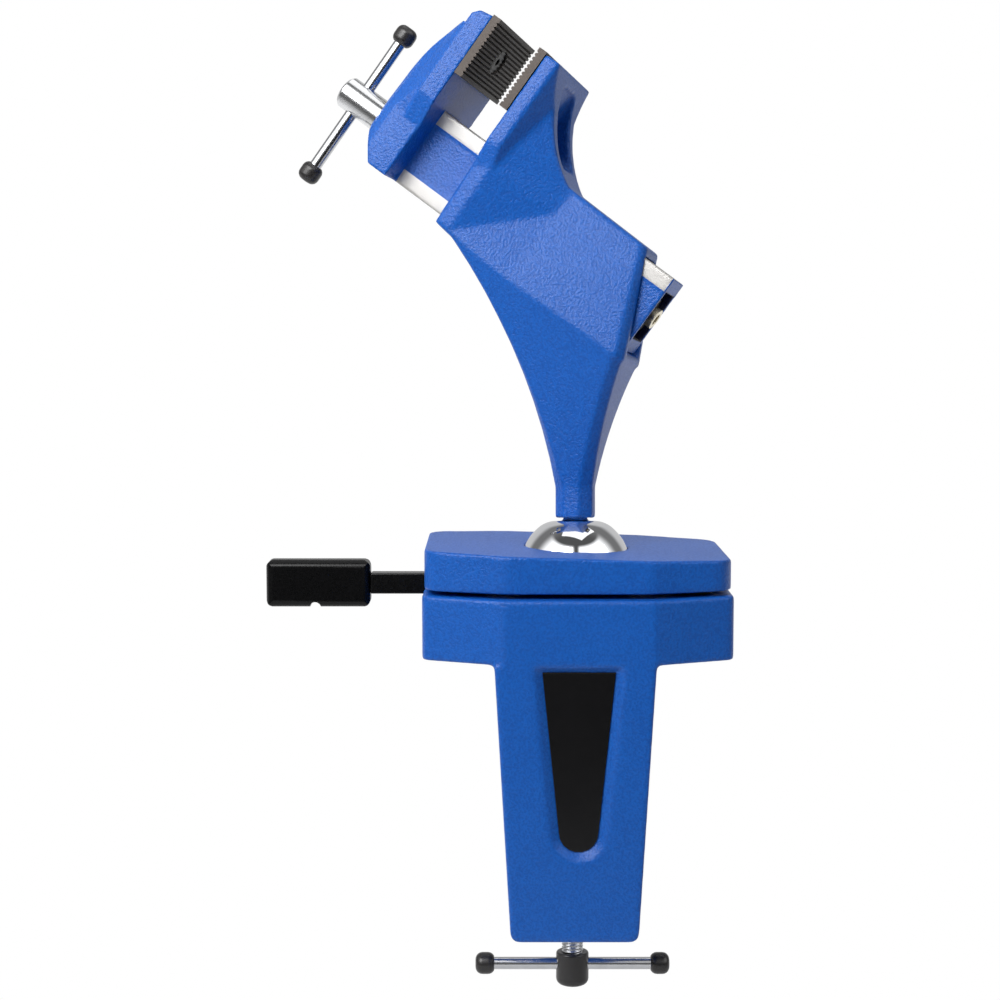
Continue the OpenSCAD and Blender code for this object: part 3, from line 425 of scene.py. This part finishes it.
# %% The four castings
soften("clamp_frame", blue_enamel, 0.55, 26, 0.16)
soften("ball_cover", blue_enamel, 0.5, 14, 0.16)
soften("head_casting", blue_enamel, 0.5, 24, 0.16)
soften("moving_jaw", slide_enamel, 0.4, 9, 0.12)

# %% [markdown]
# ## The small pieces
# Plates, screws, bars and caps have their right shapes already, so the solids themselves stay.
# They get their finishes, and modifiers that weld the faces and break the sharp edges a little.
# The table gives each piece its finish and the width of its broken edges in millimetres.

# %% Finishes of the small pieces
SMALL = {
    "label_plate": (plate_black, 0.25),
    # Painted shade: the cover spacers are zinc-plated steel, but take the black screw finish so that
    # they sit dark in the shaded gap under the cover.
    "cover_spacers": (oxide_screw, 0.1),
    "cover_screws": (oxide_screw, 0.2),
    "ball_seat": (yellow_brass, 0.2),
    "fixed_jaw_plate": (oxide_jaw, 0.12),
    "fixed_plate_screw": (oxide_screw, 0.12),
    "moving_jaw_plate": (oxide_jaw, 0.12),
    "moving_plate_screw": (oxide_screw, 0.12),
    "jaw_nut": (yellow_brass, 0.2),
    "spindle": (bright_chrome, 0.25),
    "thrust_washer": (zinc_plate, 0.1),
    "retaining_clip": (zinc_plate, 0.1),
    # Painted shade: the stop washer is zinc-plated steel, but takes the black grip finish so that it
    # sits dark in the shaded hollow of the slide.
    "stop_washer": (grip_black, 0.1),
    "stop_screw": (white_brass, 0.15),
    "spindle_bar": (bar_chrome, 0.2),
    "spindle_bar_caps": (cap_black, 0.3),
    "clamp_pad": (zinc_plate, 0.3),
    "clamp_hub": (cap_black, 0.25),
    "clamp_bar": (bar_chrome, 0.2),
    "clamp_bar_caps": (cap_black, 0.3),
    "lock_bolt": (oxide_screw, 0.2),
    "bolt_washer": (zinc_plate, 0.1),
    "lever_arm": (gloss_black, 0.5),
    "lever_grip": (grip_black, 0.35),
}
FLAT_WITHIN, EDGE_ABOVE = math.radians(0.5), math.radians(32)


def dress(node, finish, edge):
    """Gives a solid its finish, and breaks its sharp edges edge mm wide."""
    piece = frame["nodes"][node]
    for place in piece.material_slots:
        place.material = finish
    piece.modifiers.new("weld", "WELD").merge_threshold = SEAM
    flats = piece.modifiers.new("flat_faces", "DECIMATE")
    flats.decimate_type = "DISSOLVE"
    flats.angle_limit = FLAT_WITHIN
    bevel = piece.modifiers.new("broken_edges", "BEVEL")
    bevel.limit_method = "ANGLE"
    bevel.angle_limit = EDGE_ABOVE
    bevel.width = edge * MM
    bevel.segments = 2
    piece.modifiers.new("even_shading", "WEIGHTED_NORMAL").keep_sharp = False


for node, (finish, edge) in SMALL.items():
    dress(node, finish, edge)
print("dressed", len(SMALL), "small pieces")

# %% [markdown]
# ## Two turned pieces
# The ball and the clamp screw come off a lathe, and both have round forms that broken edges can't
# give. Each is made point by point as a surface of its own, which takes the solid's place and rides on
# its body.

# %% Put a made surface in a solid's place
def take_place(form, node, finish):
    """Makes a piece of a form, shaded round apart from its end caps, and swaps a node for it."""
    for face in form.faces:
        face.smooth = len(face.verts) < 5
    mesh = bpy.data.meshes.new(node + "_turned")
    form.to_mesh(mesh)
    form.free()
    mesh.materials.append(finish)
    piece = bpy.data.objects.new(node + "_turned", mesh)
    bpy.context.scene.collection.objects.link(piece)
    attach(piece, node)
    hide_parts(node)
    print(piece.name, "has", len(mesh.polygons), "faces")


# %% [markdown]
# The ball has a small flat round its stud, and the rim of the flat is rolled over into the round.
# A mirror shows the smallest facet, so a ball from a few rings of faces would not do. Its outline is
# drawn as arcs instead, as radius and height in millimetres, from the bottom up to the stud's end.

# %% Draw the ball's outline
BALL_R, FLAT, ROLL = 20.0, 17.5, 10.0
STUD_R, STUD_TOP, ROOT = 4.25, 24.0, 1.2
LOWEST_RING = -88


def arc(centre, radius, start, end, steps):
    """Points on an arc, as radius and height, with angles in degrees up from level."""
    turns = [math.radians(start + (end - start) * i / steps) for i in range(steps + 1)]
    return [(centre[0] + radius * math.cos(t), centre[1] + radius * math.sin(t)) for t in turns]


roll_r = math.sqrt((BALL_R - ROLL) ** 2 - (FLAT - ROLL) ** 2)
roll_start = math.degrees(math.atan2(FLAT - ROLL, roll_r))
outline = [(0.0, -BALL_R)]
outline += arc((0, 0), BALL_R, LOWEST_RING, roll_start, 60)
outline += arc((roll_r, FLAT - ROLL), ROLL, roll_start, 90, 16)[1:]
outline += arc((STUD_R + ROOT, FLAT + ROOT), ROOT, 270, 180, 6)
outline += [(STUD_R, STUD_TOP), (0.0, STUD_TOP)]
print("the ball's outline has", len(outline), "points")

# %% [markdown]
# The outline is turned round the neck's axis in fine steps. The first and last points lie on the axis
# and stay single, so the faces that meet them have three corners.

# %% Turn the ball
AROUND = 120
CENTRE = Vector(joints["ball_tilt"]["pos_m"])
NECK = Vector(joints["head_turn"]["axis"]).normalized()
out = NECK.orthogonal().normalized()
aside = NECK.cross(out)
form = bmesh.new()
rings = []
for radius, height in outline:
    ring = []
    for i in range(AROUND if radius else 1):
        turn = math.tau * i / AROUND
        spoke = out * math.cos(turn) + aside * math.sin(turn)
        ring.append(form.verts.new(CENTRE + (NECK * height + spoke * radius) * MM))
    rings.append(ring)
for low, high in zip(rings, rings[1:]):
    for i in range(AROUND):
        j = i + 1
        corners = [low[i % len(low)], low[j % len(low)], high[j % len(high)], high[i % len(high)]]
        form.faces.new(list(dict.fromkeys(corners)))
take_place(form, "ball", mirror_chrome)

# %% [markdown]
# The screw that grips the bench is a long M8 thread, and its ridges are the first thing seen under the
# arm. A bump would leave its outline straight, so the thread is wound as a real surface: each point's
# distance from the axis follows from how far round and how far up it is. The plain tip inside the pad
# can't be seen, so it is left out.

# %% Wind the thread
THREAD_R, PITCH, THREAD_DEPTH = 3.98, 1.25, 0.55
FLANK, CREST, RUN_OUT = 3.2, 0.25, 0.5
HIDDEN_TIP = 5.2
SIDES, PER_TURN = 28, 6
low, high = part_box("clamp_screw")
middle = (low + high) / 2
bottom, tip = low.z / MM, high.z / MM - HIDDEN_TIP


def thread_point(turn, z):
    """A point of the thread's surface, from its share of a turn and its height in millimetres."""
    phase = ((z - bottom) / PITCH - turn) % 1.0
    tooth = min(1.0, max(0.0, abs(phase - 0.5) * FLANK - CREST))
    ends = min(1.0, z - bottom, tip - z)
    r = (THREAD_R - THREAD_DEPTH * (1 - tooth) - RUN_OUT * (1 - ends)) * MM
    angle = turn * math.tau
    return middle.x + r * math.cos(angle), middle.y + r * math.sin(angle), z * MM


rows = int((tip - bottom) / PITCH * PER_TURN)
form = bmesh.new()
rings = []
for row in range(rows + 1):
    z = bottom + (tip - bottom) * row / rows
    rings.append([form.verts.new(thread_point(side / SIDES, z)) for side in range(SIDES)])
for first, second in zip(rings, rings[1:]):
    for side in range(SIDES):
        after = (side + 1) % SIDES
        form.faces.new((first[side], first[after], second[after], second[side]))
form.faces.new(list(reversed(rings[0])))
form.faces.new(rings[-1])
take_place(form, "clamp_screw", zinc_plate)

# %% [markdown]
# ## The studio
# The photograph shows the vise cut out on white, from a little above the base, by a long lens.
# The camera's place was worked out from points on the vise that show in the photograph.

# %% Camera
LENS, SENSOR = 75.895, 36.0
CAMERA_PLACE, CAMERA_DIP = (-0.02674, -0.74282, 0.12223), 5.365
lens = bpy.data.cameras.new("portrait_camera")
lens.sensor_width = SENSOR
lens.lens = LENS
lens.clip_start = 0.01
lens.clip_end = 50.0
camera = bpy.data.objects.new("portrait_camera", lens)
camera.location = CAMERA_PLACE
camera.rotation_euler = (math.radians(90 - CAMERA_DIP), 0, 0)
bpy.context.scene.collection.objects.link(camera)
bpy.context.scene.camera = camera
bpy.context.scene.view_settings.view_transform = "Standard"
print("camera at", tuple(round(c, 3) for c in camera.location))

# %% [markdown]
# The camera sees a white world. Chrome needs more than white to show, so the world has a second face
# that only mirrors see: a dark room with two bright panels at the front, a narrow dark gap between
# them, and behind the vise a dim wall that is paler straight at the back. Everything else gets a faint
# even light from it, and the rest from the lamps.

# %% World
WHITE = (1, 1, 1, 1)
PANEL_LIGHT, ROOM_LIGHT, WALL_LIGHT, BACK_LIGHT, FAINT_LIGHT = 1.5, 0.1, 0.2, 0.62, 0.1
world = bpy.data.worlds.new("studio_world")
bpy.context.scene.world = world
sky = Finish(world)


def backdrop(strength):
    return sky.node("ShaderNodeBackground", {}, {"Color": WHITE, "Strength": strength})


def either(mask, first, second):
    return sky.node("ShaderNodeMixShader", {}, {0: mask, 1: first, 2: second})


gaze = sky.node("ShaderNodeTexCoord", out="Generated")
sideways = abs(gaze.dot((1.0, 0.0, 0.0)))
depth = gaze.dot((0.0, 1.0, 0.0))
height = gaze.dot((0.0, 0.0, 1.0))
behind = depth.step(-0.2, 0.3)
panels = sideways.step(0.03, 0.14) * height.step(0.2, 0.4) * (1 - height.step(0.78, 0.86))
rear = either(depth.step(0.5, 0.75), backdrop(WALL_LIGHT), backdrop(BACK_LIGHT))
room = either(behind, backdrop(ROOM_LIGHT), rear)
mirrored = either(panels * (1 - behind), room, backdrop(PANEL_LIGHT))
lit = either(sky.node("ShaderNodeLightPath", out="Is Glossy Ray"), backdrop(FAINT_LIGHT), mirrored)
shade = either(sky.node("ShaderNodeLightPath", out="Is Camera Ray"), lit, backdrop(1.0))
sky.node("ShaderNodeOutputWorld", {}, {"Surface": shade})
print("world has", len(sky.tree.nodes), "nodes")

# %% [markdown]
# The photograph's light is large, soft and from the upper left. One lamp could give it, but the faces
# turned away would then be black, so weaker ones fill in from near, from the right, from above and
# from behind. Mirrors don't see the one behind, because it would wash out the rims of the chrome.

# %% Lamps
def softbox(name, place, target, width, height, power):
    """An even rectangle of light that faces its target, in metres and watts."""
    light = bpy.data.lights.new(name, "AREA")
    light.shape = "RECTANGLE"
    light.size = width
    light.size_y = height
    light.energy = power
    lamp = bpy.data.objects.new(name, light)
    lamp.location = place
    lamp.rotation_euler = (Vector(target) - Vector(place)).to_track_quat("-Z", "Y").to_euler()
    bpy.context.scene.collection.objects.link(lamp)
    print(name, power, "W")
    return lamp


softbox("left_box", (-0.46, -0.58, 0.53), (0, 0, 0.12), 0.7, 0.5, 6.0)
softbox("near_fill", (-0.2, -0.35, 0.4), (-0.03, 0, 0.17), 0.25, 0.2, 0.8)
softbox("right_box", (0.9, -0.48, 0.6), (0, 0, 0.1), 0.8, 0.7, 1.8)
softbox("top_light", (0.05, 0.1, 1.2), (0, 0, 0.05), 0.8, 0.8, 2.5)
back = softbox("back_box", (-0.75, 0.3, 0.6), (-0.05, 0, 0.25), 0.6, 0.6, 3.4)
back.visible_glossy = False

# %% [markdown]
# The floor is plain pale paper, a hand's width below the vise. To the camera it glows, and more so with
# the distance, until it is as white as the world. Mirrors see it white behind the vise. A dim card lies
# on it in front, out of the camera's sight, because polished metal would mirror too much white there.

# %% Paper for the floor and the card
PAPER_CLOUD, PAPER_SHADE = 120.0, 0.98
FADE, GLOW_NEAR = (0.12, 0.26), 0.6
MIRROR_FADE = (0.0, 0.4)


def paper(name, grey, glows=False):
    """Dull paper of one grey. Where it glows, it turns as white as the world away from the vise."""
    finish = Finish(bpy.data.materials.new(name))
    dark = grey * PAPER_SHADE
    shades = finish.mix(finish.noise(PAPER_CLOUD), (dark, dark, dark, 1.0), (grey, grey, grey, 1.0))
    sheet = finish.node("ShaderNodeBsdfDiffuse", {}, {"Color": shades})
    if glows:
        spot = finish.spot() * (1.0, 1.0, 0.0)
        away = finish.node("ShaderNodeVectorMath", {"operation": "LENGTH"}, {0: spot}, "Value")
        glow = finish.node("ShaderNodeEmission", {}, {"Color": WHITE, "Strength": 1.0})
        seen = finish.node("ShaderNodeLightPath", out="Is Camera Ray")
        seen = seen * (away.step(*FADE) * (1 - GLOW_NEAR) + GLOW_NEAR)
        mirrored = finish.node("ShaderNodeLightPath", out="Is Glossy Ray")
        mirrored = mirrored * spot.dot((0.0, 1.0, 0.0)).step(*MIRROR_FADE)
        sheet = finish.node("ShaderNodeMixShader", {}, {0: seen + mirrored, 1: sheet, 2: glow})
    finish.node("ShaderNodeOutputMaterial", {}, {"Surface": sheet})
    return finish.owner


pale_floor = paper("pale_floor", grey=0.93, glows=True)
dim_grey = paper("dim_grey", grey=0.03)
print("made", pale_floor.name, dim_grey.name)

# %% [markdown]
# Both are single faces. They belong to the stage, so they ride on no body.

# %% Floor and card
FLOOR_DROP, FLOOR_HALF, CARD_LIFT = 0.09, 6, 0.002


def flat_card(name, finish, z, left, right, near, far):
    """A level sheet between two sides and two depths, in metres."""
    mesh = bpy.data.meshes.new(name)
    corners = [(left, near, z), (right, near, z), (right, far, z), (left, far, z)]
    mesh.from_pydata(corners, [], [(0, 1, 2, 3)])
    mesh.materials.append(finish)
    card = bpy.data.objects.new(name, mesh)
    bpy.context.scene.collection.objects.link(card)
    return card


floor_z = cad_box[0][2] - FLOOR_DROP
flat_card("floor", pale_floor, floor_z, -FLOOR_HALF, FLOOR_HALF, -FLOOR_HALF, FLOOR_HALF)
card = flat_card("dim_card", dim_grey, floor_z + CARD_LIFT, left=-0.45, right=1.6, near=-2.5, far=-0.5)
card.visible_camera = False
print("floor at", round(floor_z, 4))

# %% [markdown]
